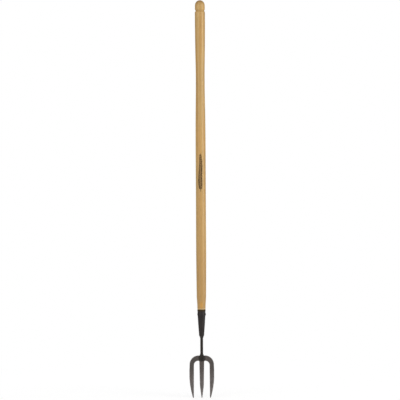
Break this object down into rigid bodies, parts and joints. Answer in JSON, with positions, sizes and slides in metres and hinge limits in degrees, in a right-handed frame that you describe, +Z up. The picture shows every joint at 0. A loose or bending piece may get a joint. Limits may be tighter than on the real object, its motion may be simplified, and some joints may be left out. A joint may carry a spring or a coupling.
{
  "type": "digging fork",
  "caption": "Long-handled digging fork: turned ash shaft riveted into a steel socket, swan neck, and a small head of flat pointed steel tines.",
  "frame": {"origin": "on the shaft axis at the height of the tine tips, under the middle of the head", "axes": "+Z up along the shaft from tine tips to handle end, +X across the head to the viewer's right, front of the fork towards -Y"},
  "size_m": [0.0746, 0.0304, 1.1936],
  "materials": {
    "ash_wood": "clear satin varnish",
    "socket_steel": "dark satin coating",
    "rivet_steel": "dark satin coating, worn on the head",
    "neck_steel": "dark satin coating",
    "tine_steel": "grey satin coating, lighter towards the points",
    "weld_steel": "dark coated weld"
  },
  "bodies": {
    "root": {"ash_shaft": "ash_wood", "socket": "socket_steel", "socket_rivet": "rivet_steel", "neck": "neck_steel", "tine_yoke": "tine_steel", "centre_tine": "tine_steel", "socket_weld": "weld_steel", "foot_weld": "weld_steel", "seam_weld": "weld_steel"}
  },
  "joints": []
}
